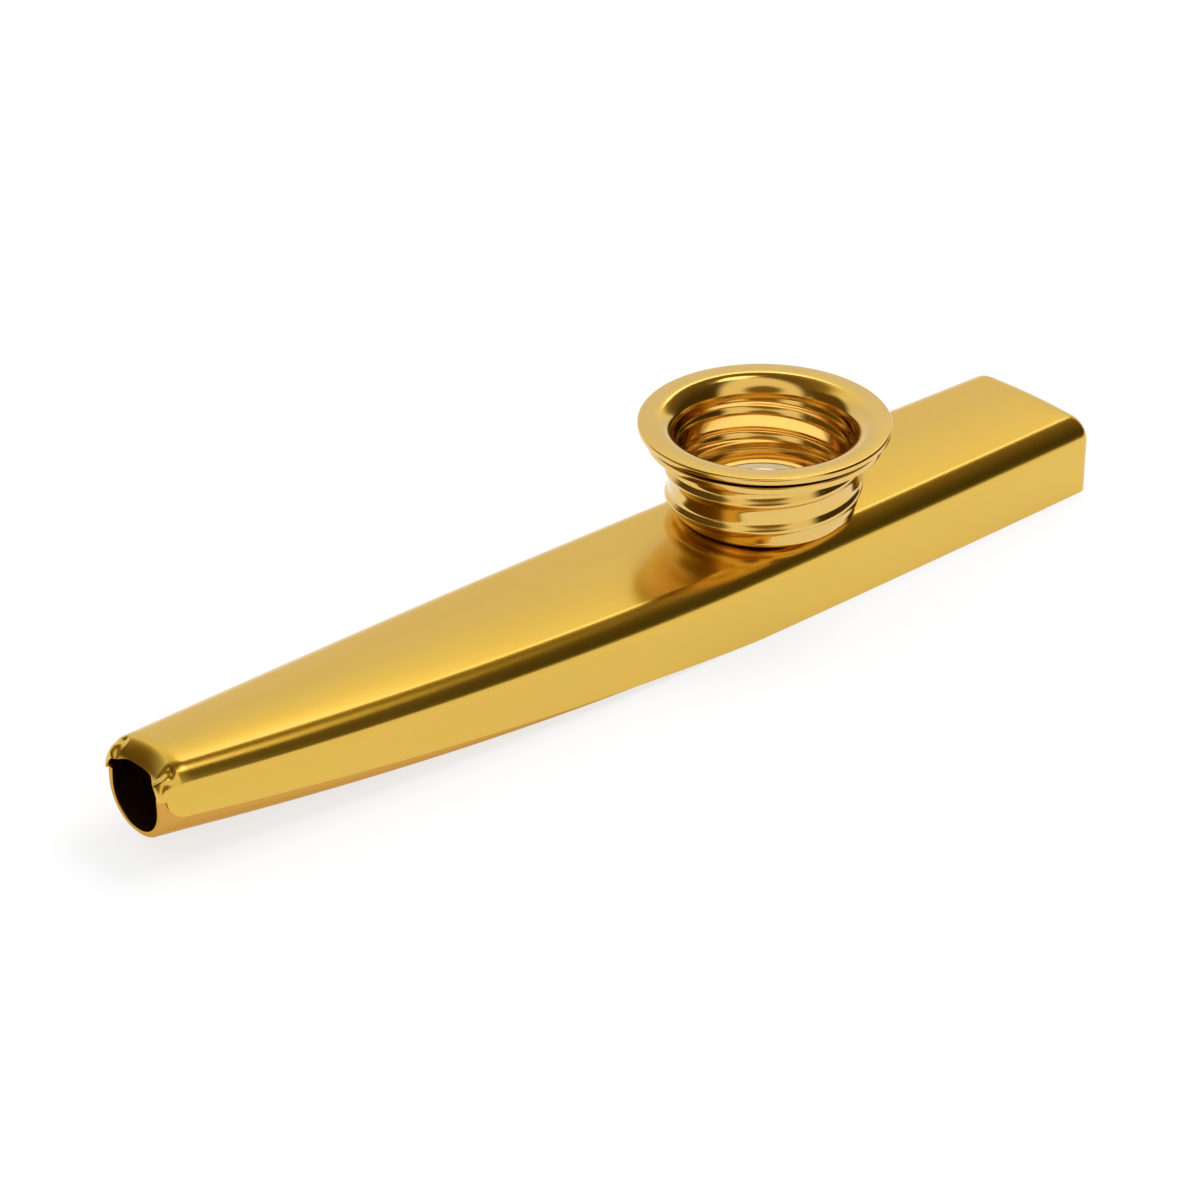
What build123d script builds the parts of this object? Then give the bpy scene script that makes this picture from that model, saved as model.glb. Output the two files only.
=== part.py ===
from build123d import *
import math
import os

# A pressed sheet-metal kazoo of the submarine kind, in millimetres.
# X runs along the body from the narrow outlet (-X) to the wide mouth end (+X), Z is up,
# and the origin lies in the middle of the underside.

# Body, two pressed shells of thin sheet
body_length = 120.0
widest_width = 18.7
narrow_width = 9.6
wide_width = 17.2
body_height = 8.4
shell_sheet = 0.45
shell_gap = 0.1
crown_radius = 150.0
narrow_edge_radius = 1.9
wide_edge_radius = 2.5
narrow_end_radius = 1.7
wide_end_radius = 2.3
wide_end_bow = 0.9

# Plan outline: where the body is widest, and how its two tapers curve
widest_place = 9.0
narrow_taper_power = 1.9
wide_taper_power = 1.5
station_count = 13

# The nose is drawn up towards the narrow end
nose_length = 66.0
nose_lift = 2.0
nose_power = 1.5

# Lower shell: a flat tray that turns into a trough at the narrow end
tray_wall_height = 5.4
tray_bend_radius = 0.6
trough_radius = 3.4
flat_trim = 0.1

# Seam: the lower edge of the skirts climbs from the floor to the narrow end
seam_start = 10.0
seam_middle_height = 1.8
seam_end_height = 4.8
seam_corner_radius = 1.5

# Openings at the two ends
outlet_width = 7.2
outlet_height = 6.2
outlet_corner_radius = 2.7
relief_slit_width = 0.45
mouth_width = 11.0
mouth_height = 4.6
mouth_corner_radius = 2.0

# Turret, round an upright axis on the top
turret_place = 18.9
turret_sheet = 0.45
thread_radius = 9.9
thread_depth = 0.3
thread_pitch = 3.0
thread_gap = 0.15
thread_run_out = 0.75
thread_steps_per_turn = 6
collar_foot_radius = 8.5
collar_foot_height = 0.85
collar_foot_gap = 0.05
collar_wall_height = 6.5
collar_lip_radius = 12.2
collar_lip_bend = 0.85
collar_lip_curl = 0.4
neck_radius = 6.8
neck_gap = 0.1
clinch_radius = 7.5
clinch_gap = 0.3
ring_wall_height = 5.75
ring_flange_radius = 13.0
ring_bend = 1.7
ring_flange_curl = 0.25
ring_seat_gap = 0.1

# Membrane and its washer, loose discs on the foot of the collar
membrane_thickness = 0.1
washer_thickness = 0.6
washer_bore_radius = 6.5
disc_gap = 0.3

# One run past each face that a cut goes through
overrun = 2.0

# Tolerance for picking an edge by its place
hair = 0.01

half_length = body_length / 2
bow_radius = (wide_width / 2) ** 2 / (2 * wide_end_bow) + wide_end_bow / 2
bow_middle = half_length - bow_radius
os.makedirs("parts", exist_ok=True)


def half_width_at(x):
    """Half the plan width: widest near the middle, with one curved taper towards each end."""
    if x < widest_place:
        taper = ((widest_place - x) / (widest_place + half_length)) ** narrow_taper_power
        return (widest_width - (widest_width - narrow_width) * taper) / 2
    taper = ((x - widest_place) / (half_length - widest_place)) ** wide_taper_power
    return (widest_width - (widest_width - wide_width) * taper) / 2


def nose_share_at(x):
    """Runs from 0 at the start of the nose to 1 at the narrow end."""
    return max(0, (nose_length - half_length - x) / nose_length)


def lift_at(x):
    return nose_lift * nose_share_at(x) ** nose_power


def edge_radius_at(x):
    return narrow_edge_radius + (wide_edge_radius - narrow_edge_radius) * (x + half_length) / body_length


def cover_section(x, inset, low):
    """One cross-section of the upper shell: straight sides, rounded edges and a crowned top."""
    top = body_height + lift_at(x)
    half_width = half_width_at(x)
    edge_radius = edge_radius_at(x)
    crown_middle = top - crown_radius
    edge_y = half_width - edge_radius
    edge_z = crown_middle + math.sqrt((crown_radius - edge_radius) ** 2 - edge_y**2)
    edge_angle = math.atan2(edge_z - crown_middle, edge_y)
    radius = edge_radius - inset

    def on_edge(angle):
        return edge_y + radius * math.cos(angle), edge_z + radius * math.sin(angle)

    side_y, side_z = on_edge(0)
    bend_y, bend_z = on_edge(edge_angle / 2)
    top_y, top_z = on_edge(edge_angle)
    crown = top - inset
    return Wire(
        [
            Edge.make_line((x, -side_y, low), (x, -side_y, side_z)),
            Edge.make_three_point_arc((x, -side_y, side_z), (x, -bend_y, bend_z), (x, -top_y, top_z)),
            Edge.make_three_point_arc((x, -top_y, top_z), (x, 0, crown), (x, top_y, top_z)),
            Edge.make_three_point_arc((x, top_y, top_z), (x, bend_y, bend_z), (x, side_y, side_z)),
            Edge.make_line((x, side_y, side_z), (x, side_y, low)),
            Edge.make_line((x, side_y, low), (x, -side_y, low)),
        ]
    )


def tray_section(x, inset, wall_height):
    """One cross-section of the lower shell: a flat floor that turns into a trough at the nose."""
    high = lift_at(x) + wall_height
    half_width = half_width_at(x) - shell_sheet - shell_gap - inset
    radius = tray_bend_radius + (trough_radius - tray_bend_radius) * nose_share_at(x) ** 2 - inset
    low = lift_at(x) - flat_trim + inset
    bend_y = half_width - radius
    bend_z = low + radius
    middle = radius * math.sqrt(1 / 2)
    return Wire(
        [
            Edge.make_line((x, -half_width, high), (x, -half_width, bend_z)),
            Edge.make_three_point_arc(
                (x, -half_width, bend_z), (x, -bend_y - middle, bend_z - middle), (x, -bend_y, low)
            ),
            Edge.make_line((x, -bend_y, low), (x, bend_y, low)),
            Edge.make_three_point_arc(
                (x, bend_y, low), (x, bend_y + middle, bend_z - middle), (x, half_width, bend_z)
            ),
            Edge.make_line((x, half_width, bend_z), (x, half_width, high)),
            Edge.make_line((x, half_width, high), (x, -half_width, high)),
        ]
    )


def lofted(section, open_level, inset, end_inset):
    """Blank of a shell: a loft through the stations, cut square at its narrow end and bowed at its wide end."""
    spacing = (body_length + overrun) / (station_count - 1)
    wires = [section(-half_length + spacing * station, inset, open_level) for station in range(station_count)]
    end_block = Box(2 * overrun, 2 * widest_width, 8 * body_height)
    bow = Pos(bow_middle, 0, 0) * Cylinder(bow_radius - end_inset, 8 * body_height)
    past_narrow = Pos(end_inset - half_length - overrun, 0, 0) * end_block
    past_wide = Pos(half_length, 0, 0) * end_block - bow
    return Solid.make_loft(wires) - past_narrow - past_wide


def round_rim(blank, end_face, radius, open_level):
    """Rounds the rim of an end face, all but its open side."""
    rim = [edge for edge in end_face.edges() if abs(edge.center().Z - open_level) > hair]
    return blank.fillet(radius, rim)


def narrow_face(blank):
    return blank.faces().sort_by(Axis.X)[0]


def wide_face(blank):
    return blank.faces().sort_by(Axis.X)[-1]


def cover_blank(open_level, inset):
    blank = lofted(cover_section, open_level, inset, inset)
    blank = round_rim(blank, narrow_face(blank), min(narrow_end_radius, narrow_edge_radius) - inset, open_level)
    return round_rim(blank, wide_face(blank), min(wide_end_radius, wide_edge_radius) - inset, open_level)


def wide_corner(side, nest):
    """What lies outside an upright corner at the wide end, rounded to meet the bow and the side."""
    radius = wide_end_radius - nest
    corner_y = half_width_at(half_length - wide_end_radius) - nest - radius
    corner_x = bow_middle + math.sqrt((bow_radius - nest - radius) ** 2 - corner_y**2)
    reach = radius + overrun
    across = Align.MIN if side > 0 else Align.MAX
    outside = Box(reach, reach, 8 * body_height, align=(Align.MIN, across, Align.CENTER))
    return Pos(corner_x, side * corner_y, 0) * (outside - Cylinder(radius, 8 * body_height))


def tray_blank(open_level, inset):
    nest = shell_sheet + shell_gap + inset
    blank = lofted(tray_section, open_level, inset, nest)
    return blank - wide_corner(-1, nest) - wide_corner(1, nest)


def below_floor():
    return Pos(0, 0, -overrun) * Box(2 * body_length, 2 * widest_width, 2 * overrun)


def below_seam():
    """The space under the skirts' climbing lower edge, with its corner rounded at the narrow end."""
    corner_x = -half_length + seam_corner_radius
    corner_z = seam_end_height + seam_corner_radius
    middle = seam_corner_radius * math.sqrt(1 / 2)
    outside = -half_length - overrun
    halfway = (seam_start + corner_x) / 2
    edges = [
        Edge.make_three_point_arc(
            (seam_start, 0, 0), (halfway, 0, seam_middle_height), (corner_x, 0, seam_end_height)
        ),
        Edge.make_three_point_arc(
            (corner_x, 0, seam_end_height), (corner_x - middle, 0, corner_z - middle), (-half_length, 0, corner_z)
        ),
        Edge.make_line((-half_length, 0, corner_z), (outside, 0, corner_z)),
        Edge.make_line((outside, 0, corner_z), (outside, 0, -overrun)),
        Edge.make_line((outside, 0, -overrun), (seam_start, 0, -overrun)),
        Edge.make_line((seam_start, 0, -overrun), (seam_start, 0, 0)),
    ]
    return extrude(Face(Wire(edges)), amount=widest_width, dir=(0, 1, 0), both=True)


def end_opening(end, middle, width, height, corner_radius):
    plane = Plane(origin=(end, 0, middle), x_dir=(0, 1, 0), z_dir=(1, 0, 0))
    return extrude(plane * RectangleRounded(width, height, corner_radius), amount=overrun, both=True)


def outlet_middle():
    return nose_lift + body_height / 2


def outlet():
    return end_opening(-half_length, outlet_middle(), outlet_width, outlet_height, outlet_corner_radius)


def relief_slit(side):
    """A slit in the rolled-in rim, from an upper corner of the outlet out to the edge of the shell."""
    corner_y = side * (outlet_width / 2 - outlet_corner_radius)
    corner_z = outlet_middle() + outlet_height / 2 - outlet_corner_radius
    slit = Box(2 * narrow_end_radius, relief_slit_width, narrow_width, align=(Align.CENTER, Align.CENTER, Align.MIN))
    return Pos(-half_length, corner_y, corner_z) * Rot(-45 * side, 0, 0) * slit


def mouth():
    return end_opening(half_length, body_height / 2, mouth_width, mouth_height, mouth_corner_radius)


def upper_shell():
    shell = cover_blank(-overrun, 0)
    shell -= cover_blank(-2 * overrun, shell_sheet)
    shell -= below_floor()
    shell -= below_seam()
    shell -= outlet()
    shell -= relief_slit(-1)
    shell -= relief_slit(1)
    shell -= mouth()
    shell -= Pos(turret_place, 0, body_height) * Cylinder(neck_radius, 2 * overrun)
    return shell


def lower_shell():
    nest = shell_sheet + shell_gap
    rim_level = lift_at(nest - half_length) + tray_wall_height
    blank = tray_blank(tray_wall_height, 0)
    shell = round_rim(blank, narrow_face(blank), narrow_end_radius - nest, rim_level)
    shell -= tray_blank(tray_wall_height + overrun, shell_sheet)
    shell -= below_floor()
    shell -= outlet()
    shell -= mouth()
    return shell


def turned(edges):
    """A turned piece: the outline lies in the upright plane through the turret's axis."""
    axis = Axis((turret_place, 0, 0), (0, 0, 1))
    return Solid.revolve(Face(Wire(edges)), 360, axis)


def turned_polygon(points):
    corners = [(turret_place + radius, 0, z) for radius, z in points]
    return turned(Wire.make_polygon(corners, close=True).edges())


def thread_core(radius, low, high):
    """A rolled thread: circles whose middle runs round the axis once in each pitch of height.

    It runs out to the root circle at its foot and to the crest circle at its head.
    """
    steps = math.ceil((high - low) / thread_pitch * thread_steps_per_turn)
    wires = []
    for step in range(steps + 1):
        z = low + (high - low) * step / steps
        foot = max(0, 1 - (z - low) / thread_run_out)
        head = max(0, 1 - (high - z) / thread_run_out)
        throw = thread_depth * (1 - foot - head)
        turn = 2 * math.pi * z / thread_pitch
        middle = (turret_place + throw * math.cos(turn), throw * math.sin(turn), z)
        wires.append(Wire.make_circle(radius + thread_depth * (head - foot), Plane(middle)))
    return Solid.make_loft(wires, ruled=True)


def thread_wall(radius, low, high):
    return thread_core(radius, low, high) - thread_core(radius - turret_sheet, low, high)


def flared_lip(radius, low, bend, lip_radius, curl):
    """The head of a turret piece: the wall bends out to a flat lip, and the lip's rim is curled down."""
    bend_r = turret_place + radius + bend
    inner = bend + turret_sheet
    slant = math.sqrt(1 / 2)
    rim = turret_place + lip_radius
    under = low + bend
    over = low + inner
    edges = [
        Edge.make_three_point_arc(
            (bend_r - bend, 0, low), (bend_r - bend * slant, 0, low + bend * slant), (bend_r, 0, under)
        ),
        Edge.make_line((bend_r, 0, under), (rim, 0, under)),
        Edge.make_line((rim, 0, under), (rim, 0, over)),
        Edge.make_line((rim, 0, over), (bend_r, 0, over)),
        Edge.make_three_point_arc(
            (bend_r, 0, over), (bend_r - inner * slant, 0, low + inner * slant), (bend_r - inner, 0, low)
        ),
        Edge.make_line((bend_r - inner, 0, low), (bend_r - bend, 0, low)),
    ]
    curled_rim = turned_polygon(
        [
            (lip_radius - turret_sheet, under - curl),
            (lip_radius, under - curl),
            (lip_radius, over),
            (lip_radius - turret_sheet, over),
        ]
    )
    return turned(edges) + curled_rim


foot_level = body_height + collar_foot_gap
seat_level = foot_level + collar_foot_height
collar_lip_level = seat_level + collar_wall_height
disc_radius = thread_radius - turret_sheet - thread_depth - disc_gap
washer_level = seat_level + membrane_thickness
ring_level = washer_level + washer_thickness + ring_seat_gap
ring_thread_radius = thread_radius - turret_sheet - thread_gap


def turret_collar():
    neck_outer = neck_radius - neck_gap
    neck_inner = neck_outer - turret_sheet
    clinch_over = body_height - shell_sheet - clinch_gap
    clinch_under = clinch_over - turret_sheet
    foot = turned_polygon(
        [
            (neck_inner, clinch_under),
            (clinch_radius, clinch_under),
            (clinch_radius, clinch_over),
            (neck_outer, clinch_over),
            (neck_outer, foot_level),
            (collar_foot_radius, foot_level),
            (thread_radius - thread_depth, seat_level),
            (neck_inner, seat_level),
        ]
    )
    wall = thread_wall(thread_radius, seat_level, collar_lip_level)
    crest_radius = thread_radius + thread_depth
    lip = flared_lip(crest_radius, collar_lip_level, collar_lip_bend, collar_lip_radius, collar_lip_curl)
    return foot + wall + lip


def screw_ring():
    nose_top = ring_level + turret_sheet
    nose_radius = ring_thread_radius - thread_depth
    nose = turned_polygon(
        [
            (washer_bore_radius, ring_level),
            (nose_radius, ring_level),
            (nose_radius, nose_top),
            (washer_bore_radius, nose_top),
        ]
    )
    head = nose_top + ring_wall_height
    wall = thread_wall(ring_thread_radius, nose_top, head)
    crest_radius = ring_thread_radius + thread_depth
    flange = flared_lip(crest_radius, head, ring_bend, ring_flange_radius, ring_flange_curl)
    return nose + wall + flange


def membrane():
    return Pos(turret_place, 0, seat_level + membrane_thickness / 2) * Cylinder(disc_radius, membrane_thickness)


def membrane_washer():
    place = Pos(turret_place, 0, washer_level + washer_thickness / 2)
    return place * (Cylinder(disc_radius, washer_thickness) - Cylinder(washer_bore_radius, 2 * washer_thickness))


for make_piece in (upper_shell, lower_shell, turret_collar, screw_ring, membrane_washer, membrane):
    export_step(make_piece(), f"parts/{make_piece.__name__}.step")
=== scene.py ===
# %% [markdown]
# # A pressed-metal kazoo
#
# This kazoo is six thin pieces: two pressed shells that nest to make the body, a threaded collar
# that is clinched to the top, a ring that screws into it, and a membrane with its washer.
# The outer sizes come from the CAD frame, and the smaller ones stand in millimetres beside the
# piece that they belong to. Every piece is modelled in metres, in the place where it sits.

# %% The frame and the units
import math
from types import SimpleNamespace

import bpy
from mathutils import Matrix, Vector


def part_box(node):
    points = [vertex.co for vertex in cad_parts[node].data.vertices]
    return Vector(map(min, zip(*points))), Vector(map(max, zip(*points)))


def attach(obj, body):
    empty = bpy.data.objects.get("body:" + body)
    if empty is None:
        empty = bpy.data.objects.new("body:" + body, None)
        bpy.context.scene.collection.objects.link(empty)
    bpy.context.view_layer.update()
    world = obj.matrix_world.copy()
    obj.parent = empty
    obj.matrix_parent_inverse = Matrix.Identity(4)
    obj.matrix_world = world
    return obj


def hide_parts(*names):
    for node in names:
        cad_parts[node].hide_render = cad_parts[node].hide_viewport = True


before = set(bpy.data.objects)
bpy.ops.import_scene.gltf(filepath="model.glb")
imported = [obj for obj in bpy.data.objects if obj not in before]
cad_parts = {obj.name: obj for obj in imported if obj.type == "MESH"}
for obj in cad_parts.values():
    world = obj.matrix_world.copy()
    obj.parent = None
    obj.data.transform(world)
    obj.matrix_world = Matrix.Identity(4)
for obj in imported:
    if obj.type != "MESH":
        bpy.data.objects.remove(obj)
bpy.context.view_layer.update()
MM = 0.001

# %% [markdown]
# ## Selecting and shaping
#
# Operators act on whatever is selected, so each piece starts from an empty selection. Two small
# habits do most of the work: cut a blank into rows, then move its points to where the press or
# the lathe leaves them.


# %% Helpers for selecting
def start_clean():
    if bpy.context.object and bpy.context.object.mode != "OBJECT":
        bpy.ops.object.mode_set(mode="OBJECT")
    bpy.ops.object.select_all(action="DESELECT")


def only(piece):
    start_clean()
    piece.select_set(True)
    bpy.context.view_layer.objects.active = piece


def select_edges(piece, wanted):
    """Leaves edit mode on, with just the edges selected whose two ends pass the test."""
    bpy.ops.mesh.select_mode(type="EDGE")
    bpy.ops.mesh.select_all(action="DESELECT")
    bpy.ops.object.mode_set(mode="OBJECT")
    points = piece.data.vertices
    for edge in piece.data.edges:
        edge.select = wanted(*(points[i].co for i in edge.vertices))
    bpy.ops.object.mode_set(mode="EDIT")


def cut_rows(piece, axis, cuts):
    """Cuts every edge that runs along one axis, as a loop cut would."""

    def along(a, b):
        run = [abs(b[k] - a[k]) for k in range(3)]
        return run[axis] == max(run)

    select_edges(piece, along)
    bpy.ops.mesh.subdivide(number_cuts=cuts)


# %% Helpers for finishing
fine_weld = 0.001 * MM
coarse_weld = 0.02 * MM
sharp_angle = math.radians(50)
smooth_angle = math.radians(40)


def apply_modifier(piece, kind, name, **settings):
    only(piece)
    modifier = piece.modifiers.new(name, kind)
    for key, value in settings.items():
        setattr(modifier, key, value)
    bpy.ops.object.modifier_apply(modifier=modifier.name)


def tidy_normals(piece, weld=fine_weld):
    only(piece)
    bpy.ops.object.mode_set(mode="EDIT")
    bpy.ops.mesh.select_all(action="SELECT")
    bpy.ops.mesh.remove_doubles(threshold=weld)
    bpy.ops.mesh.dissolve_degenerate(threshold=weld)
    bpy.ops.mesh.normals_make_consistent(inside=False)
    bpy.ops.object.mode_set(mode="OBJECT")


def break_edges(piece, width):
    """Bevels every sharp edge a little, and smooths the shading of the rest."""
    tidy_normals(piece, coarse_weld)
    apply_modifier(
        piece,
        "BEVEL",
        "edge",
        width=width,
        segments=2,
        limit_method="ANGLE",
        angle_limit=sharp_angle,
        loop_slide=False,
    )
    only(piece)
    bpy.ops.object.shade_smooth_by_angle(angle=smooth_angle)


# %% [markdown]
# ## The plan and the side view of the body
#
# Both shells follow one plan outline, widest a little past the middle, and one rising nose. The plan
# and the nose have the same formulas as the solid model, so a shell made here lies where its solid
# lies. Only the seam is drawn again, a little higher and with a rounder corner at the narrow end.

# %% Outline of the body
half_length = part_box("upper_shell")[1].x
widest = 18.7 * MM
narrow = 9.6 * MM
wide = 17.2 * MM
top_level = 8.4 * MM
widest_place = 9.0 * MM
narrow_power = 1.9
wide_power = 1.5
nose_length = 66.0 * MM
nose_lift = 2.0 * MM
nose_power = 1.5
sheet = 0.45 * MM
nest_gap = 0.1 * MM
nest = sheet + nest_gap
end_bow = 0.9 * MM


def half_width_at(x):
    if x < widest_place:
        taper = ((widest_place - x) / (widest_place + half_length)) ** narrow_power
        return (widest - (widest - narrow) * min(1, taper)) / 2
    taper = ((x - widest_place) / (half_length - widest_place)) ** wide_power
    return (widest - (widest - wide) * taper) / 2


def nose_share_at(x):
    return min(1, max(0, (nose_length - half_length - x) / nose_length))


def lift_at(x):
    return nose_lift * nose_share_at(x) ** nose_power


def bow_at(sign):
    """How far the end face bulges: the wide end does, the narrow end doesn't."""
    return end_bow if sign > 0 else 0


print(f"body {2 * half_length / MM:.1f} mm long, nose lifted {lift_at(-half_length) / MM:.2f} mm")

# %% Seam
seam_start = 10.0 * MM
seam_end_level = 5.2 * MM
seam_halfway_share = 0.39
seam_corner = 3.2 * MM
seam_corner_rise = 2.1 * MM


def seam_at(x):
    """Height of the skirts' lower edge: flat, then climbing, with a round corner at the narrow end."""
    corner_x = -half_length + seam_corner
    if x > corner_x:
        share = max(0, seam_start - x) / (seam_start - corner_x)
        curve = share**2 * (2 - 4 * seam_halfway_share) + share * (4 * seam_halfway_share - 1)
        return seam_end_level * curve
    past = (corner_x - x) / seam_corner
    return seam_end_level + seam_corner_rise * (1 - math.sqrt(max(0, 1 - past**2)))


print(f"seam {seam_at(0) / MM:.2f} mm high in the middle, {seam_at(-half_length) / MM:.2f} mm at the outlet")

# %% [markdown]
# ## Pressing a shell
#
# A real shell is a flat blank that a press draws into an open box with soft corners. Here the blank
# is a cube, cut into rows and opened on one side. Each point then moves to its place in the pressed
# shape: it is set in from the walls round the ends, and swung onto the bend along the long edges.
# A subdivision surface over a rough cage would also do, but its corners can't be given as radii.
#
# The rows aren't spread evenly. A bend takes more of them than a flat does, and the shares below say
# how many: along the length, across the width and down the depth. A point of the cube counts as lying
# on one of its faces from the coordinate cube_face on.

# %% Spreading the rows
cube_face = 0.9999
narrow_rows_share = 0.08
wide_rows_share = 0.07
flat_rows_share = 0.22
least_flat_share = 0.1
end_rows_share = 0.54
end_drop_rows_share = 0.5
edge_drop_rows_share = 0.78
edge_drop_less_share = 0.14
most_end_depth_share = 0.4
most_edge_depth_share = 0.7
bend_room = 0.3 * MM
least_radius = 0.02 * MM


def stops(share, table):
    """Reads a place from a table of (share, place) stops, in a straight line between them."""
    for (s0, p0), (s1, p1) in zip(table, table[1:]):
        if share <= s1:
            return p0 + (p1 - p0) * (share - s0) / (s1 - s0)
    return table[-1][1]


def section_at(u, form):
    """The shell's section at one row along the blank, with the end that the row is nearer to."""
    low_end = form["end_insets"][0] - half_length
    high_end = half_length - form["end_insets"][1]
    narrow_radius, wide_radius = form["end_radii"]
    length_stops = [
        (0, low_end),
        (narrow_rows_share, low_end + narrow_radius),
        (1 - wide_rows_share, high_end - wide_radius),
        (1, high_end),
    ]
    x = stops((u + 1) / 2, length_stops)
    if u < 0:
        end, radius, sign, side_share = low_end, narrow_radius, -1, form["side_shares"][0]
    else:
        end, radius, sign, side_share = high_end, wide_radius, 1, form["side_shares"][1]
    return SimpleNamespace(
        x=x,
        end=end,
        radius=radius,
        sign=sign,
        side_share=side_share,
        roomy=min(1, radius / wide_radius),
        half_width=form["half_width"](x),
        bend=form["bend"](x),
        depth=form["depth"](x),
    )


def box_place(v, w, here):
    """Where a point lies across and down the section, while its edges are still sharp."""
    soft = max(here.bend, here.radius) + bend_room
    width_stops = [
        (0, 0),
        (flat_rows_share, max(least_flat_share * here.half_width, here.half_width - soft)),
        (1 - end_rows_share * here.roomy, here.half_width - here.radius),
        (1, here.half_width),
    ]
    depth_stops = [
        (0, 0),
        (end_drop_rows_share * here.roomy, min(here.radius, most_end_depth_share * here.depth)),
        (
            edge_drop_rows_share - edge_drop_less_share * here.roomy,
            min(soft, most_edge_depth_share * here.depth),
        ),
        (1, here.depth),
    ]
    return math.copysign(stops(abs(v), width_stops), v), stops((1 - w) / 2, depth_stops)


# %% [markdown]
# An end face is rounded into the walls and the top by one radius, and the side share says how much
# of that radius the walls take: a whole share makes a round corner, a small one leaves the walls
# straight to the rim. The long edge's own radius is used up by as much as the end draws it in.


# %% The press
def end_turn(u, y, h, here):
    """How far in from the end face's rim a point lies, and the angle its sheet is turned by there."""
    if abs(u) > cube_face:
        inset = max(0, min(here.half_width - abs(y), h))
        return inset, math.pi / 4 * (1 + min(1, inset / here.radius))
    past = max(0, (here.x - here.end) * here.sign + here.radius)
    return 0, math.pi / 4 * min(1, past / here.radius)


def draw_in(y, h, inset, turn, here):
    """Sets a point in from the walls round an end. Also gives the set-back and the edge radius left."""
    side_radius = here.side_share * here.radius
    if inset < here.radius:
        drawn = here.radius * (1 - math.cos(turn))
        side = here.side_share * drawn
        y = y * (here.half_width - side) / (here.half_width - inset)
        h = drawn + (h - inset) * (here.depth - drawn) / (here.depth - inset)
        return y, h, drawn, side, max(here.bend - side, least_radius)
    left_share = (here.half_width - inset) / (here.half_width - here.radius)
    side = here.half_width - (here.half_width - side_radius) * left_share
    y = y * (here.half_width - side_radius) / (here.half_width - here.radius)
    return y, h, inset, side, max((here.bend - side_radius) * left_share, least_radius)


def pressed_point(grid, form):
    """Moves one point of the cube, from -1 to 1 each way, to its place on the pressed shell."""
    u, v, w = grid
    here = section_at(u, form)
    y, h = box_place(v, w, here)
    inset, turn = end_turn(u, y, h, here)
    y, h, drawn, side, radius = draw_in(y, h, inset, turn, here)
    y_core = here.half_width - side - radius
    h_core = drawn + radius
    y_out = max(0, abs(y) - y_core)
    h_out = max(0, h_core - h)
    facing = 1 if abs(u) < cube_face < w else 0
    out = math.hypot(y_out, h_out)
    if out > 0:
        facing = h_out / out
        if y_out > 0 and h_out > 0:
            y = math.copysign(y_core + radius * y_out / out, y)
            h = h_core - radius * h_out / out
    h += y * y / (2 * form["crown"](here.x)) * facing**2
    x = here.x
    if turn > 0:
        x = here.end - here.sign * here.radius * (1 - math.sin(turn))
    x -= here.sign * bow_at(here.sign) * (y / here.half_width) ** 2 * math.sin(turn) ** 2
    return x, y, form["closed_level"](here.x) + form["open_way"] * h


def press_shell(name, form, rows):
    """Cuts a cube into rows, opens it on its lower side, presses it and gives it the sheet's thickness."""
    start_clean()
    bpy.ops.mesh.primitive_cube_add(size=2)
    shell = bpy.context.object
    shell.name = name
    bpy.ops.object.mode_set(mode="EDIT")
    for axis, cuts in enumerate(rows):
        cut_rows(shell, axis, cuts)
    bpy.ops.mesh.select_mode(type="FACE")
    bpy.ops.mesh.select_all(action="DESELECT")
    bpy.ops.object.mode_set(mode="OBJECT")
    for face in shell.data.polygons:
        face.select = face.center.z < -cube_face
    bpy.ops.object.mode_set(mode="EDIT")
    bpy.ops.mesh.delete(type="FACE")
    bpy.ops.object.mode_set(mode="OBJECT")
    for point in shell.data.vertices:
        point.co = pressed_point(point.co, form)
    tidy_normals(shell)
    apply_modifier(shell, "SOLIDIFY", "sheet", thickness=sheet, offset=-1)
    for point in shell.data.vertices:
        point.co.x = min(half_length, max(form["end_insets"][0] - half_length, point.co.x))
    print(name, "pressed:", len(shell.data.polygons), "faces")
    return shell


# %% [markdown]
# ## Cutting the openings
#
# The outlet, the mouth slot and the hole under the turret are punched through the sheet. A Boolean
# modifier with a plain cutter does that, and a narrow bevel then breaks the sheared edges, because
# a bare sharp edge catches no light.

# %% Punches
punch_corner_steps = 10
hole_sides = 96


def block_punch(name, middle, size, corner, top_share=1.0):
    """A block along X, narrower at its top, with its long edges rounded by two radii, lower pair first."""
    start_clean()
    bpy.ops.mesh.primitive_cube_add(size=1, location=middle)
    punch = bpy.context.object
    punch.name = name
    punch.scale = size
    bpy.ops.object.transform_apply(location=True, rotation=False, scale=True)
    for point in punch.data.vertices:
        if point.co.z > middle[2]:
            point.co.y *= top_share
    bpy.ops.object.mode_set(mode="EDIT")
    for radius, above in zip(corner, (False, True)):

        def long_edge(a, b):
            return abs(b.x - a.x) > size[0] / 2 and (a.z > middle[2]) == above

        select_edges(punch, long_edge)
        bpy.ops.mesh.bevel(offset=radius, segments=punch_corner_steps, affect="EDGES")
    bpy.ops.object.mode_set(mode="OBJECT")
    return punch


def hole_punch(name, middle, radius, depth):
    start_clean()
    bpy.ops.mesh.primitive_cylinder_add(vertices=hole_sides, radius=radius, depth=depth, location=middle)
    punch = bpy.context.object
    punch.name = name
    bpy.ops.object.transform_apply(location=True, rotation=False, scale=False)
    return punch


def punch_out(piece, punch):
    apply_modifier(piece, "BOOLEAN", "punch", operation="DIFFERENCE", solver="MANIFOLD", object=punch)
    bpy.data.objects.remove(punch)


# %% Mouth slot
mouth_size = (4 * MM, 11 * MM, 4.6 * MM)
mouth_corner = 2 * MM


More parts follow.
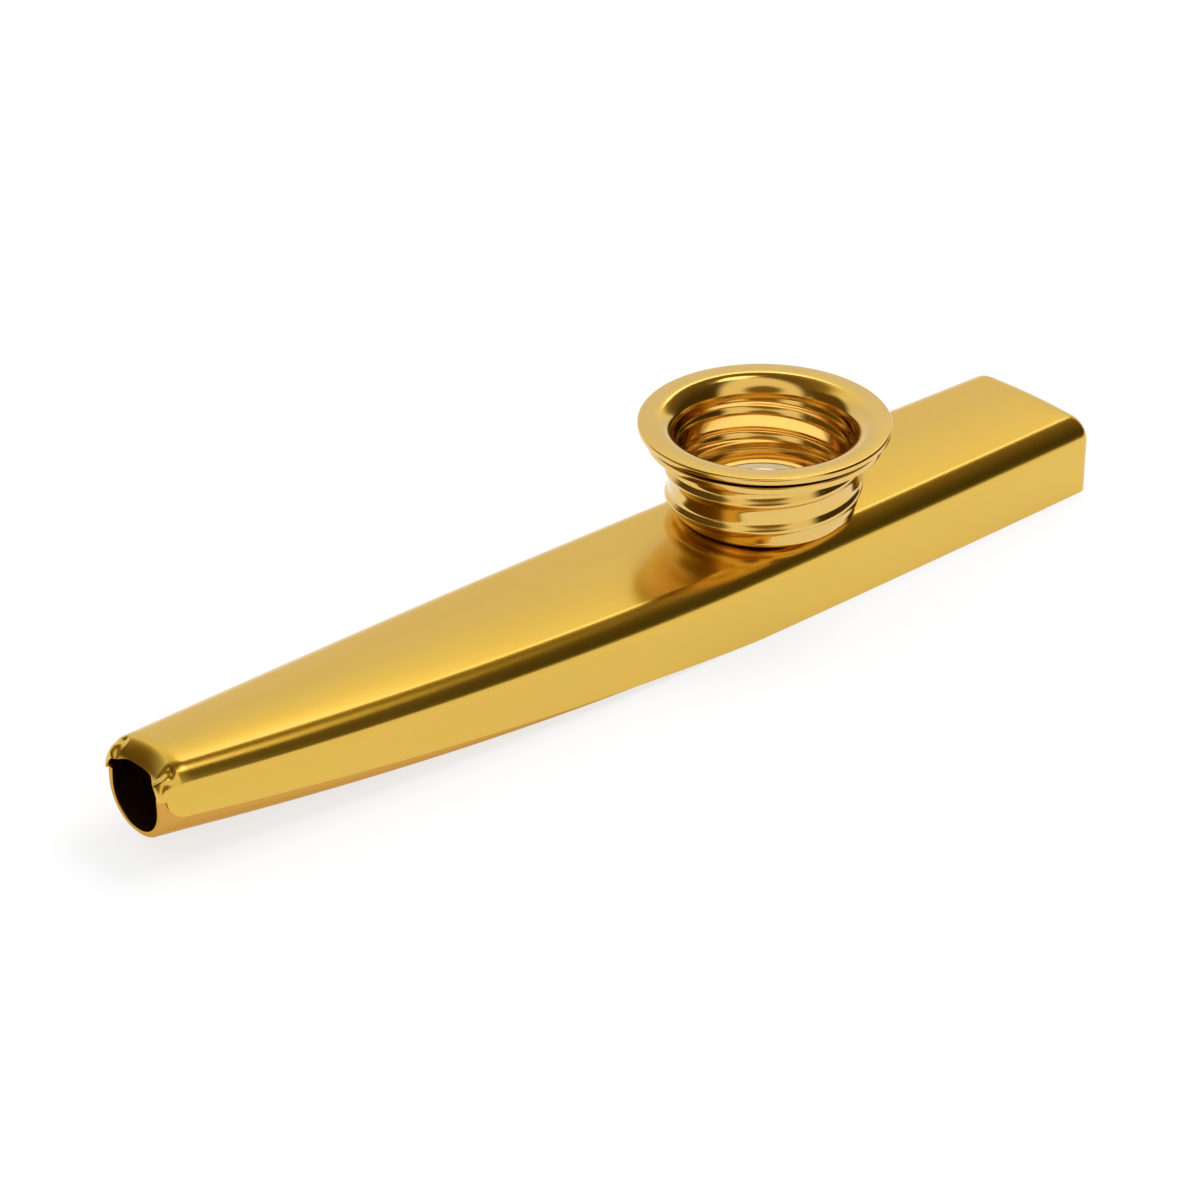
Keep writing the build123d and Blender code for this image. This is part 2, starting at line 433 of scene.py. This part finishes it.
def mouth_punch():
    """Goes through the wide ends of both shells, half-way up."""
    middle = (half_length, 0, top_level / 2)
    return block_punch("mouth_punch", middle, mouth_size, (mouth_corner, mouth_corner))


print(f"mouth slot {mouth_size[1] / MM:.1f} x {mouth_size[2] / MM:.1f} mm")

# %% [markdown]
# ## The upper shell
#
# It is the cover that shows: a crowned top, soft long edges and skirts that reach the table. Its long
# edges are tight at the narrow end and soon grow softer, and its crown is nearly flat and rounder
# towards the narrow end.

# %% Form of the cover
turret_x = (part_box("screw_ring")[0].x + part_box("screw_ring")[1].x) / 2
narrow_edge = 1.9 * MM
edge_growth = 0.7 * MM
edge_growth_power = 4
crown_radius = 150 * MM
nose_crown_radius = 26 * MM


def cover_bend(x):
    left_share = (half_length - x) / (2 * half_length)
    return narrow_edge + edge_growth * (1 - left_share**edge_growth_power)


def cover_crown(x):
    return 1 / (1 / crown_radius + nose_share_at(x) ** 2 / nose_crown_radius)


cover_form = {
    "end_radii": (2.3 * MM, 2.3 * MM),
    "end_insets": (0, 0),
    "side_shares": (0.25, 1),
    "half_width": half_width_at,
    "bend": cover_bend,
    "depth": lambda x: top_level + lift_at(x) - seam_at(x),
    "closed_level": lambda x: top_level + lift_at(x),
    "open_way": -1,
    "crown": cover_crown,
}
print(f"long edges {cover_bend(-half_length) / MM:.2f} to {cover_bend(half_length) / MM:.2f} mm radius")

# %% [markdown]
# At the narrow end the rim is folded in. It bends down more sharply than a round would, along a line
# that is hollow in the middle, and the spare sheet gathers into a crease across each upper corner.
# Sculpting could make this too, but a few smooth steps keep the fold even and easy to change.

# %% Folded rim
fold_roll = 2.3 * MM
fold_flatness = 1.8
fold_hollow = 0.5 * MM
fold_fade_start = -0.5 * MM
fold_fade_end = 0.9 * MM
crease_depth = 0.3 * MM
crease_width = 0.7 * MM
crease_place_share = 0.35
crease_length_share = 0.17
diagonal = math.sqrt(0.5)


def soft_step(value, start, end):
    """Rises smoothly from 0 to 1 as the value goes from start to end."""
    share = min(1, max(0, (value - start) / (end - start)))
    return share * share * (3 - 2 * share)


def crease_at(across, on_way):
    """Depth of the corner crease, by the distance across it and the share of the way to the rim."""
    return crease_depth * math.exp(
        -((across / crease_width) ** 2) - ((on_way - crease_place_share) / crease_length_share) ** 2
    )


def fold_rim(shell):
    """Bends the rim in along a hollow line, and creases it across its two upper corners."""
    corner_y = half_width_at(-half_length) - narrow_edge
    corner_z = top_level + nose_lift - narrow_edge
    for point in shell.data.vertices:
        gap = point.co.x + half_length
        if gap > 2 * fold_roll:
            continue
        y, z = abs(point.co.y), point.co.z
        on_way = min(1, max(0, 1 - gap / fold_roll))
        slope = math.sqrt(1 - on_way**2)
        out_y = max(0, y - corner_y)
        out_z = max(0, z - corner_z)
        upward = soft_step(out_z - out_y, fold_fade_start, fold_fade_end) if out_z > 0 else 0
        near_rim = soft_step(-gap, -2 * fold_roll, -fold_roll)
        back = fold_hollow * max(0, 1 - (y / corner_y) ** 2) * upward * near_rim
        back += upward * fold_roll * (on_way - on_way**fold_flatness)
        inward = upward * fold_roll * (slope - slope**fold_flatness)
        if out_y > 0 and out_z > 0:
            push = crease_at((out_z - out_y) * diagonal, on_way)
            back += push * on_way
            point.co.y -= math.copysign(push * slope * diagonal, point.co.y)
            inward += push * slope * diagonal
        point.co.x += back
        point.co.z -= inward


# %% Upper shell
cover_rows = (180, 70, 36)
cover_break = 0.1 * MM
outlet_level = 5.85 * MM
outlet_size = (6 * MM, 8.4 * MM, 6.9 * MM)
outlet_corners = (2.6 * MM, 2.8 * MM)
neck_hole = 6.8 * MM
neck_punch_depth = 4 * MM

upper = press_shell("upper_cover", cover_form, cover_rows)
outlet_punch = block_punch("outlet_punch", (-half_length, 0, outlet_level), outlet_size, outlet_corners)
punch_out(upper, outlet_punch)
punch_out(upper, mouth_punch())
punch_out(upper, hole_punch("neck_punch", (turret_x, 0, top_level), neck_hole, neck_punch_depth))
fold_rim(upper)
break_edges(upper, cover_break)
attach(upper, "body")
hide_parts("upper_shell")
print("upper cover", len(upper.data.polygons), "faces")

# %% [markdown]
# ## The lower shell
#
# A flat tray that sits inside the skirts. Towards the narrow end its floor rises and turns into a
# round trough, whose end makes the lower half of the outlet and is drawn out until it is nearly
# flush with the upper rim.

# %% Lower shell
tray_rows = (160, 60, 30)
tray_break = 0.08 * MM
tray_edge = 0.6 * MM
trough_growth = 3.55 * MM
tray_wall = 5.4 * MM
floor_trim = 0.1 * MM
flat_crown_radius = 1000.0
trough_level = 6.05 * MM
trough_size = (4 * MM, 7.5 * MM, 7.2 * MM)
trough_corners = (3.6 * MM, 0.8 * MM)
trough_top_share = 0.9
forward_start = -57.0 * MM
forward_ramp = 1.3 * MM
forward_reach = 0.3 * MM


def tray_bend(x):
    return tray_edge + trough_growth * nose_share_at(x) ** 2


def bring_forward(shell):
    """Draws the end of the trough out towards the upper rim."""
    for point in shell.data.vertices:
        near_end = min(1, max(0, (forward_start - point.co.x) / forward_ramp))
        point.co.x -= forward_reach * near_end


tray_form = {
    "end_radii": (0.3 * MM, 1.75 * MM),
    "end_insets": (nest, nest),
    "side_shares": (1, 1),
    "half_width": lambda x: half_width_at(x) - nest,
    "bend": tray_bend,
    "depth": lambda x: tray_wall,
    "closed_level": lambda x: max(0, lift_at(x) - floor_trim),
    "open_way": 1,
    "crown": lambda x: flat_crown_radius,
}
lower = press_shell("lower_tray", tray_form, tray_rows)
trough_middle = (-half_length, 0, trough_level)
punch_out(lower, block_punch("trough_punch", trough_middle, trough_size, trough_corners, trough_top_share))
punch_out(lower, mouth_punch())
bring_forward(lower)
break_edges(lower, tray_break)
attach(lower, "body")
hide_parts("lower_shell")
print("lower tray", len(lower.data.polygons), "faces")

# %% [markdown]
# ## Turning the turret
#
# Collar and ring are spun from sheet and then rolled between two threaded wheels. The turned wall is
# drawn out of one circle, ring after ring, along the outline of its section. A Screw modifier could
# turn a drawn section too, but here the section stays a short list of lines and arcs. Rolling comes
# last: every point of the wall moves in or out by a wave that climbs one pitch in each turn. The same
# wave goes through both walls of both pieces, so the ring really screws into the collar.

# %% Turning
around = 160
foot_steps = 6
bend_steps = 8
curl_steps = 8
rim_steps = 5


def arc(middle, radius, start, end, steps):
    """Points of a section's bend, as (radius, height), between two angles in degrees."""
    turns = [math.radians(start + (end - start) * k / steps) for k in range(steps + 1)]
    return [(middle[0] + radius * math.cos(t), middle[1] + radius * math.sin(t)) for t in turns]


def rise(radius, low, high, steps):
    """Points of a straight upright wall, as (radius, height)."""
    return [(radius, low + (high - low) * k / steps) for k in range(steps + 1)]


def turn_piece(name, section):
    """Draws a circle along a closed section, one extruded ring for each point of it."""
    start_clean()
    first = section[0]
    axis = Vector((turret_x, 0, first[1]))
    bpy.ops.mesh.primitive_circle_add(vertices=around, radius=first[0], location=axis)
    piece = bpy.context.object
    piece.name = name
    bpy.ops.object.transform_apply(location=True, rotation=False, scale=False)
    bpy.ops.object.mode_set(mode="EDIT")
    bpy.ops.mesh.select_all(action="SELECT")
    for (r0, z0), (r1, z1) in zip(section, section[1:] + section[:1]):
        bpy.ops.mesh.extrude_region_move(TRANSFORM_OT_translate={"value": (0, 0, z1 - z0)})
        scale = r1 / r0
        bpy.ops.transform.resize(value=(scale, scale, 1), center_override=(turret_x, 0, z1))
    bpy.ops.object.mode_set(mode="OBJECT")
    tidy_normals(piece)
    return piece


# %% Rolling the thread
pitch = 3.0 * MM
thread_depth = 0.3 * MM
run_out = 0.75 * MM
valley_share = -0.35
crest_power = 4
thread_rows = 48


def thread_wave(angle, z, low, high):
    """In and out of the wall: a climbing wave that runs out to the root below and the crest above."""
    foot = max(0, 1 - (z - low) / run_out)
    head = max(0, 1 - (high - z) / run_out)
    crest_share = ((1 + math.cos(angle - 2 * math.pi * z / pitch)) / 2) ** crest_power
    wave = valley_share + (1 - valley_share) * crest_share
    return thread_depth * (wave * (1 - foot - head) + head - foot)


def roll_thread(piece, low, high, least, most):
    """Moves the points of the upright wall, between two radii, onto the thread."""
    for point in piece.data.vertices:
        x, y, z = point.co.x - turret_x, point.co.y, point.co.z
        radius = math.hypot(x, y)
        if low < z < high and least < radius < most:
            grown = (radius + thread_wave(math.atan2(y, x), z, low, high)) / radius
            point.co.x = turret_x + x * grown
            point.co.y = y * grown


# %% [markdown]
# ## The collar
#
# Its foot stands on the cover, and a neck under the foot goes through the cover and is clinched
# below. The wall carries the thread and ends in a flat lip that stands out under the ring's flange.

# %% Collar's sizes
collar_low, collar_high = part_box("turret_collar")
turret_sheet = 0.45 * MM
turret_break = 0.05 * MM
rim = turret_sheet / 2
thread_radius = 9.9 * MM
crest = thread_radius + thread_depth
root = thread_radius - thread_depth
seat_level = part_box("membrane")[0].z
foot_gap = 0.05 * MM
foot_level = top_level + foot_gap
foot_radius = 8.5 * MM
foot_bend = 0.55 * MM
foot_bend_radius = 8.6 * MM
neck = 6.7 * MM
clinch_radius = 7.5 * MM
clinch_level = collar_low.z + turret_sheet
lip_top = collar_high.z
lip_bend = 0.85 * MM
lip_curl = 0.4 * MM
lip_radius = collar_high.x - turret_x
wall_top = lip_top - turret_sheet - lip_bend
wall_start = 0.2 * MM
wall_end = 0.02 * MM
root_step = 0.05 * MM
roll_start = 0.1 * MM
roll_end = 0.01 * MM
collar_roll_radii = (9.0 * MM, 10.5 * MM)

# %% Collar
collar_section = (
    [(neck - turret_sheet, collar_low.z), (clinch_radius, collar_low.z), (clinch_radius, clinch_level)]
    + [(neck, clinch_level), (neck, foot_level), (foot_radius, foot_level)]
    + arc((foot_bend_radius, foot_level + foot_bend), foot_bend, -60, 30, foot_steps)
    + rise(root, seat_level, seat_level + root_step, 1)
    + rise(thread_radius, seat_level + wall_start, wall_top - wall_end, thread_rows)
    + arc((crest + lip_bend, wall_top), lip_bend, 180, 90, bend_steps)
    + arc((lip_radius - rim, lip_top - turret_sheet - lip_curl + rim), rim, 180, 360, curl_steps)
    + arc((lip_radius - rim, lip_top - rim), rim, 0, 90, rim_steps)
    + arc((crest + lip_bend, wall_top), lip_bend + turret_sheet, 90, 180, bend_steps)
    + rise(thread_radius - turret_sheet, wall_top - wall_end, seat_level + wall_start, thread_rows)
    + [(root - turret_sheet, seat_level), (neck - turret_sheet, seat_level)]
)
collar = turn_piece("collar", collar_section)
roll_thread(collar, seat_level + roll_start, wall_top - roll_end, *collar_roll_radii)
break_edges(collar, turret_break)
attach(collar, "body")
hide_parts("turret_collar")
print("collar", len(collar.data.polygons), "faces")

# %% [markdown]
# ## The ring
#
# The ring screws down inside the collar and clamps the membrane. Its flange is the wide rim that
# fingers turn, with a soft bend down into the cup.

# %% Ring's sizes
ring_low, ring_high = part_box("screw_ring")
thread_gap = 0.15 * MM
ring_radius = thread_radius - turret_sheet - thread_gap
ring_crest = ring_radius + thread_depth
ring_root = ring_radius - thread_depth
ring_bore = 6.5 * MM
ring_foot_top = ring_low.z + turret_sheet
ring_foot_chamfer = 0.2 * MM
flange_top = ring_high.z
flange_radius = ring_high.x - turret_x
flange_bend = 1.7 * MM
flange_curl = 0.25 * MM
flange_under_steps = 10
flange_over_steps = 14
ring_wall_top = flange_top - turret_sheet - flange_bend
ring_roll_radii = (8.3 * MM, 9.9 * MM)

# %% Ring
ring_section = (
    [(ring_bore, ring_low.z), (ring_root - ring_foot_chamfer, ring_low.z)]
    + [(ring_root, ring_low.z + ring_foot_chamfer), (ring_root, ring_foot_top)]
    + rise(ring_radius, ring_foot_top + wall_start, ring_wall_top - wall_end, thread_rows)
    + arc((ring_crest + flange_bend, ring_wall_top), flange_bend, 180, 90, flange_under_steps)
    + arc((flange_radius - rim, flange_top - turret_sheet - flange_curl + rim), rim, 180, 360, curl_steps)
    + arc((flange_radius - rim, flange_top - rim), rim, 0, 90, rim_steps)
    + arc((ring_crest + flange_bend, ring_wall_top), flange_bend + turret_sheet, 90, 180, flange_over_steps)
    + rise(ring_radius - turret_sheet, ring_wall_top - wall_end, ring_foot_top + wall_start, thread_rows)
    + [(ring_root - turret_sheet, ring_foot_top), (ring_bore, ring_foot_top)]
)
ring = turn_piece("ring", ring_section)
roll_thread(ring, ring_foot_top + roll_start, ring_wall_top - roll_end, *ring_roll_radii)
break_edges(ring, turret_break)
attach(ring, "ring")
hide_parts("screw_ring")
print("ring", len(ring.data.polygons), "faces")

# %% [markdown]
# ## Finishes
#
# Every colour is written as an sRGB hex value and turned to linear once. A material is a short list
# of nodes, so one function that adds a node, sets its values and links its inputs is enough.


# %% Colours and nodes
def linear(hex_colour):
    channels = [int(hex_colour[k : k + 2], 16) / 255 for k in (1, 3, 5)]
    return [c / 12.92 if c <= 0.04045 else ((c + 0.055) / 1.055) ** 2.4 for c in channels] + [1]


def node(tree, kind, inputs=None, **settings):
    """Adds a node, sets its properties, and gives each named input a value or a link."""
    made = tree.nodes.new(kind)
    for key, value in settings.items():
        setattr(made, key, value)
    for key, value in (inputs or {}).items():
        if isinstance(value, bpy.types.NodeSocket):
            tree.links.new(value, made.inputs[key])
        else:
            made.inputs[key].default_value = value
    return made


def new_material(name):
    material = bpy.data.materials.new(name)
    material.use_nodes = True
    material.node_tree.nodes.clear()
    return material, material.node_tree


def dress(piece, material):
    piece.data.materials.clear()
    piece.data.materials.append(material)
    print(piece.name, "wears", material.name)


# %% [markdown]
# ### Gold-anodised aluminium
#
# Aluminium sheet, etched to a satin and dyed gold in its oxide skin. The metal gives tinted
# reflections, the etch spreads them, and the clear oxide over the dye adds a pale, sharper gloss.
# At low angles the reflection pales too, but the dye keeps some gold in it. The sheet was rolled
# along its length, which leaves faint streaks. Etch grit is far below a pixel, so it is drawn
# coarser than it is. Bright and dark bands could be painted into the colour, but they would be right
# from one side only, so they are left to what the metal reflects.

# %% Gold finish
streak_width = 6 * MM
etch_height = 0.01 * MM
least_rough_share = 0.85
most_rough_share = 1.2


def gold_finish(name, colours, edge, coat, roughness, streak, grit, bump):
    """A metal in two close colours, with the tint of its reflections at low angles given apart."""
    material, tree = new_material(name)
    place = node(tree, "ShaderNodeTexCoord")
    along = node(tree, "ShaderNodeMapping", {"Vector": place.outputs["Object"], "Scale": streak})
    rolled = node(
        tree,
        "ShaderNodeTexNoise",
        {"Vector": along.outputs["Vector"], "Scale": 1 / streak_width, "Detail": 4.0, "Roughness": 0.6},
    )
    grain = node(
        tree,
        "ShaderNodeTexNoise",
        {"Vector": place.outputs["Object"], "Scale": 1 / grit, "Detail": 2.0},
    )
    tint = node(
        tree,
        "ShaderNodeMix",
        {"Factor": rolled.outputs["Fac"], "A": linear(colours[0]), "B": linear(colours[1])},
        data_type="RGBA",
    )
    gloss = node(
        tree,
        "ShaderNodeMapRange",
        {
            "Value": rolled.outputs["Fac"],
            "To Min": roughness * least_rough_share,
            "To Max": roughness * most_rough_share,
        },
    )
    etch = node(
        tree,
        "ShaderNodeBump",
        {"Height": grain.outputs["Fac"], "Strength": bump, "Distance": etch_height},
    )
    metal = node(
        tree,
        "ShaderNodeBsdfPrincipled",
        {
            "Base Color": tint.outputs["Result"],
            "Metallic": 1.0,
            "Roughness": gloss.outputs["Result"],
            "Normal": etch.outputs["Normal"],
            "Specular Tint": linear(edge),
            "Coat Weight": coat,
            "Coat Roughness": 0.12,
            "Coat IOR": 1.5,
        },
    )
    node(tree, "ShaderNodeOutputMaterial", {"Surface": metal.outputs["BSDF"]})
    return material


# %% [markdown]
# The golds differ a little. The cover is a clear satin gold, and the turret is brighter, and smoother
# from the spinning. The tray has a thinner gloss, and its warmer, more orange colour is painted
# reflection: it stands for the orange that its lower edge reflects, not for a different dye.

# %% Gold pieces
rolled_sheet = {"roughness": 0.22, "streak": (0.12, 1, 1), "grit": 0.12 * MM, "bump": 0.25}
spun_sheet = {"roughness": 0.13, "streak": (1, 1, 0.3), "grit": 0.1 * MM, "bump": 0.2}
satin_gold = gold_finish("satin_gold_anodised", ("#dcb13c", "#e4bb46"), "#f4e4c0", 0.85, **rolled_sheet)
# The tray's warmer colours are painted reflection, not a dye of their own.
tray_gold_painted_reflection = gold_finish("gold_anodised_painted_reflection", ("#ce983e", "#d8a448"), "#e6c888", 0.4, **rolled_sheet)
bright_gold = gold_finish("bright_gold_anodised", ("#deb456", "#e6be60"), "#f8eed8", 0.9, **spun_sheet)
dress(upper, satin_gold)
dress(lower, tray_gold_painted_reflection)
for turned in (collar, ring):
    dress(turned, bright_gold)

# %% [markdown]
# ### Film and board
#
# The membrane is a thin waxed film, pale and drawn nearly flat, with faint ripples. Its glow is painted
# light: it lifts the film out of the shade in the cup, as light coming through from the body below
# would. A translucent shader could carry that light, but the closed body stays dark inside. The washer
# is pressed fibre board.

# %% Membrane and washer finishes
ripple_width = 2.5 * MM
ripple_height = 0.1 * MM
fibre_width = 0.4 * MM
fibre_height = 0.05 * MM


def film_finish():
    material, tree = new_material("waxed_film")
    place = node(tree, "ShaderNodeTexCoord")
    ripple = node(
        tree,
        "ShaderNodeTexNoise",
        {"Vector": place.outputs["Object"], "Scale": 1 / ripple_width, "Detail": 3.0, "Distortion": 0.6},
    )
    crinkle = node(
        tree,
        "ShaderNodeBump",
        {"Height": ripple.outputs["Fac"], "Strength": 0.4, "Distance": ripple_height},
    )
    tint = node(
        tree,
        "ShaderNodeMix",
        {"Factor": ripple.outputs["Fac"], "A": linear("#e9e5dc"), "B": linear("#f7f5f0")},
        data_type="RGBA",
    )
    film = node(
        tree,
        "ShaderNodeBsdfPrincipled",
        {
            "Base Color": tint.outputs["Result"],
            "Roughness": 0.35,
            "IOR": 1.45,
            "Normal": crinkle.outputs["Normal"],
            # The glow is painted light that brightens the film in the cup's shade.
            "Emission Color": tint.outputs["Result"],
            "Emission Strength": 0.8,
        },
    )
    node(tree, "ShaderNodeOutputMaterial", {"Surface": film.outputs["BSDF"]})
    return material


def board_finish():
    material, tree = new_material("fibre_board")
    place = node(tree, "ShaderNodeTexCoord")
    fibre = node(
        tree,
        "ShaderNodeTexNoise",
        {"Vector": place.outputs["Object"], "Scale": 1 / fibre_width, "Detail": 4.0, "Roughness": 0.7},
    )
    nap = node(
        tree,
        "ShaderNodeBump",
        {"Height": fibre.outputs["Fac"], "Strength": 0.5, "Distance": fibre_height},
    )
    tint = node(
        tree,
        "ShaderNodeMix",
        {"Factor": fibre.outputs["Fac"], "A": linear("#cbb98f"), "B": linear("#e6d9bb")},
        data_type="RGBA",
    )
    board = node(
        tree,
        "ShaderNodeBsdfPrincipled",
        {"Base Color": tint.outputs["Result"], "Roughness": 0.85, "Normal": nap.outputs["Normal"]},
    )
    node(tree, "ShaderNodeOutputMaterial", {"Surface": board.outputs["BSDF"]})
    return material


dress(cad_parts["membrane"], film_finish())
dress(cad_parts["membrane_washer"], board_finish())

# %% [markdown]
# ## The studio
#
# A white table under a tent. Metal shows its surroundings more than its own colour, so what stands
# round the table matters. The table gives the bright sides and the pale tent at the back gives the
# top its gloss. A dark curtain, hung in front and drawn up over the top, makes the dark line along
# the near edge. A picture of a studio could light the scene as well, but each of these reflections
# can be moved by changing one number.

# %% Floor
table_size = 6.0
table_drop = 0.02 * MM
table_glow_share = 0.72


def seen_directly(tree):
    """1 for rays that show the surroundings themselves: straight to the eye, or by a mirror or glass."""
    path = node(tree, "ShaderNodeLightPath")
    shiny = node(
        tree,
        "ShaderNodeMath",
        {0: path.outputs["Is Glossy Ray"], 1: path.outputs["Is Transmission Ray"]},
        operation="MAXIMUM",
    )
    return node(
        tree, "ShaderNodeMath", {0: path.outputs["Is Camera Ray"], 1: shiny.outputs[0]}, operation="MAXIMUM"
    ).outputs[0]


def floor_finish():
    """White paper, part of which shines by itself where it is seen, so that a soft shadow is left."""
    material, tree = new_material("white_table")
    paper = node(tree, "ShaderNodeBsdfDiffuse", {"Color": linear("#f4f4f4")})
    glow = node(tree, "ShaderNodeEmission", {"Color": linear("#ffffff"), "Strength": 1.0})
    share = node(tree, "ShaderNodeMath", {0: seen_directly(tree), 1: table_glow_share}, operation="MULTIPLY")
    surface = node(
        tree,
        "ShaderNodeMixShader",
        {0: share.outputs[0], 1: paper.outputs["BSDF"], 2: glow.outputs["Emission"]},
    )
    node(tree, "ShaderNodeOutputMaterial", {"Surface": surface.outputs["Shader"]})
    return material


start_clean()
bpy.ops.mesh.primitive_plane_add(size=table_size, location=(0, 0, -table_drop))
floor = bpy.context.object
floor.name = "table"
dress(floor, floor_finish())

# %% [markdown]
# The tent is the world's own colour. It is read by the angle over the body, from straight back,
# at -90 degrees, through overhead to straight in front, at 90. The curtain ends a little above the
# table there, so the last stop is white.

# %% Tent and curtain
tent_stops = [
    (-90, "#e7e7e7"),
    (-56, "#e0dfdb"),
    (-47, "#f2f0cc"),
    (-40, "#e8dfae"),
    (-33, "#8e7c4a"),
    (-20, "#6e5d34"),
    (10, "#5c4c28"),
    (30, "#463a1e"),
    (60, "#3a300f"),
    (84, "#463a18"),
    (90, "#ffffff"),
]
world = bpy.data.worlds.new("tent")
bpy.context.scene.world = world
world.use_nodes = True
sky = world.node_tree
sky.nodes.clear()
way = node(sky, "ShaderNodeTexCoord")
axes = node(sky, "ShaderNodeSeparateXYZ", {"Vector": way.outputs["Generated"]})
forward = node(sky, "ShaderNodeMath", {0: axes.outputs["Y"], 1: -1.0}, operation="MULTIPLY")
over = node(sky, "ShaderNodeMath", {0: forward.outputs[0], 1: axes.outputs["Z"]}, operation="ARCTAN2")
round_tent = node(
    sky,
    "ShaderNodeMapRange",
    {"Value": over.outputs[0], "From Min": -math.pi / 2, "From Max": math.pi / 2},
)
ramp = node(sky, "ShaderNodeValToRGB", {"Fac": round_tent.outputs["Result"]})
elements = ramp.color_ramp.elements
elements.remove(elements[1])
for number, (degrees, colour) in enumerate(tent_stops):
    place = (degrees + 90) / 180
    element = elements.new(place) if number else elements[0]
    element.position = place
    element.color = linear(colour)
print("tent:", len(elements), "stops from back to front")

# %% [markdown]
# Three more things show in the tent: a pale card on the camera's side, a darker gap in it where the
# camera stands, and a dark screen at the back left. Each has soft borders, given as the pair of
# places where it starts to show and where it shows in full.

# %% Cards and screens
card_right = (0.36, 0.14)
card_back = (0.1, -0.1)
card_colour = "#f0eadc"
gap_way = (-0.61, -0.71, 0.35)
gap_border = (0.88, 0.97)
gap_colour = "#7a6236"
screen_right = (-0.2, -0.45)
screen_front = (0.0, 0.3)
screen_top = (0.8, 0.6)
screen_colour = "#5a4620"
tent_strength = 1.15
tent_light = "#e1e1e1"


def fade(value, border):
    """Rises softly from 0 to 1 as the value crosses a border from its first place to its second."""
    return node(
        sky,
        "ShaderNodeMapRange",
        {"Value": value, "From Min": border[0], "From Max": border[1]},
        interpolation_type="SMOOTHSTEP",
    ).outputs["Result"]


def both(one, other):
    return node(sky, "ShaderNodeMath", {0: one, 1: other}, operation="MULTIPLY").outputs[0]


def blend(factor, first, second):
    mixed = node(sky, "ShaderNodeMix", {"Factor": factor, "A": first, "B": second}, data_type="RGBA")
    return mixed.outputs["Result"]


card = both(fade(axes.outputs["X"], card_right), fade(axes.outputs["Y"], card_back))
toward_gap = node(
    sky,
    "ShaderNodeVectorMath",
    {0: way.outputs["Generated"], 1: gap_way},
    operation="DOT_PRODUCT",
)
gap = fade(toward_gap.outputs["Value"], gap_border)
screen = both(fade(axes.outputs["X"], screen_right), fade(axes.outputs["Y"], screen_front))
screen = both(screen, fade(axes.outputs["Z"], screen_top))
hung = blend(card, ramp.outputs["Color"], linear(card_colour))
hung = blend(gap, hung, linear(gap_colour))
hung = blend(screen, hung, linear(screen_colour))
sky_colour = blend(seen_directly(sky), linear(tent_light), hung)
tent = node(sky, "ShaderNodeBackground", {"Color": sky_colour, "Strength": tent_strength})
node(sky, "ShaderNodeOutputWorld", {"Surface": tent.outputs["Background"]})
print("tent:", len(sky.nodes), "nodes")

# %% [markdown]
# Two strip lights over the far, wide end are mirrored in the narrow end's edge as a pair of bright
# lines. A lamp from the same side only lights what is dull, such as the film and the table.

# %% Strip lights
strip_colour = "#fff8e6"


def strip_light(name, way_to, size, strength):
    """A glowing strip, one metre off, that only shows in reflections."""
    start_clean()
    bpy.ops.mesh.primitive_plane_add(size=1.0)
    made = bpy.context.object
    made.name = name
    made.scale = (size[0], size[1], 1)
    made.rotation_euler = (-math.atan2(way_to[1], way_to[2]), 0, 0)
    made.location = Vector(way_to).normalized()
    bpy.ops.object.transform_apply(location=True, rotation=True, scale=True)
    material, tree = new_material(name + "_glow")
    glow = node(tree, "ShaderNodeEmission", {"Color": linear(strip_colour), "Strength": strength})
    node(tree, "ShaderNodeOutputMaterial", {"Surface": glow.outputs["Emission"]})
    dress(made, material)
    made.visible_camera = False
    made.visible_diffuse = False
    made.visible_shadow = False


strip_light("upper_strip", way_to=(0.6, 0.48, 0.64), size=(0.5, 0.14), strength=2.2)
strip_light("lower_strip", way_to=(0.32, 0.0, 0.94), size=(0.26, 0.26), strength=2.6)

# %% Lamp
lamp_place = (0.45, -0.05, 0.75)
bpy.ops.object.light_add(type="AREA", location=lamp_place)
lamp = bpy.context.object
lamp.name = "softbox"
lamp.data.shape = "RECTANGLE"
lamp.data.size = 0.5
lamp.data.size_y = 0.35
lamp.data.energy = 3.5
lamp.visible_glossy = False
lamp.rotation_euler = (-lamp.location).to_track_quat("-Z", "Y").to_euler()
print(f"lamp of {lamp.data.energy} W, {lamp.location.length:.2f} m from the middle")

# %% [markdown]
# ## The camera
#
# The viewpoint was worked out from the outline in the photograph: a long lens, about thirty degrees
# above the table, looking along the body from its narrow end.

# %% Camera
azimuth = math.radians(-40.68)
elevation = math.radians(29.84)
distance = 400 * MM
target = Vector((-3.22 * MM, 0, 5.61 * MM))
level = math.cos(elevation)
back = Vector((math.sin(azimuth) * level, -math.cos(azimuth) * level, math.sin(elevation)))
bpy.ops.object.camera_add(location=target + distance * back)
camera = bpy.context.object
camera.rotation_euler = back.to_track_quat("Z", "Y").to_euler()
camera.data.sensor_width = 36.0
camera.data.lens = 119.8
camera.data.clip_start = 0.01
bpy.context.scene.camera = camera
bpy.context.scene.view_settings.view_transform = "Standard"
print(f"camera {distance / MM:.0f} mm off with a {camera.data.lens:.1f} mm lens")
